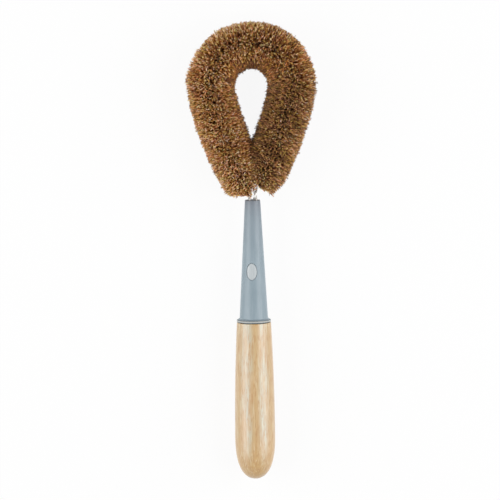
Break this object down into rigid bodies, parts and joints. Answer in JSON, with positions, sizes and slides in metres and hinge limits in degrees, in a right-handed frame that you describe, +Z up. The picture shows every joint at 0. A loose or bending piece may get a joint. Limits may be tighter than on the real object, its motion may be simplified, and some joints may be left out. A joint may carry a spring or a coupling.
{
  "type": "dish brush",
  "caption": "Dish brush with a teardrop loop of twisted wire filled with coir bristles, a tapered grey ferrule and a turned wooden handle with a rounded end.",
  "frame": {"origin": "middle of the brush's length and width, on the table that it lies on", "axes": "+Y along the brush from the handle to the loop, +X to the right seen from above with the loop away from the viewer, +Z up from the table"},
  "size_m": [0.0737, 0.2615, 0.0285],
  "materials": {
    "wood": "satin",
    "ferrule_plastic": "satin",
    "badge_plate": "satin",
    "plug_plastic": "matte",
    "wire": "satin",
    "coir": "matte"
  },
  "bodies": {
    "root": {"wooden_handle": "wood", "ferrule": "ferrule_plastic", "badge": "badge_plate", "nose_plug": "plug_plastic", "core_wire_a": "wire", "core_wire_b": "wire", "coir_left_arm": "coir", "coir_left_crown": "coir", "coir_right_crown": "coir", "coir_right_arm": "coir"}
  },
  "joints": []
}
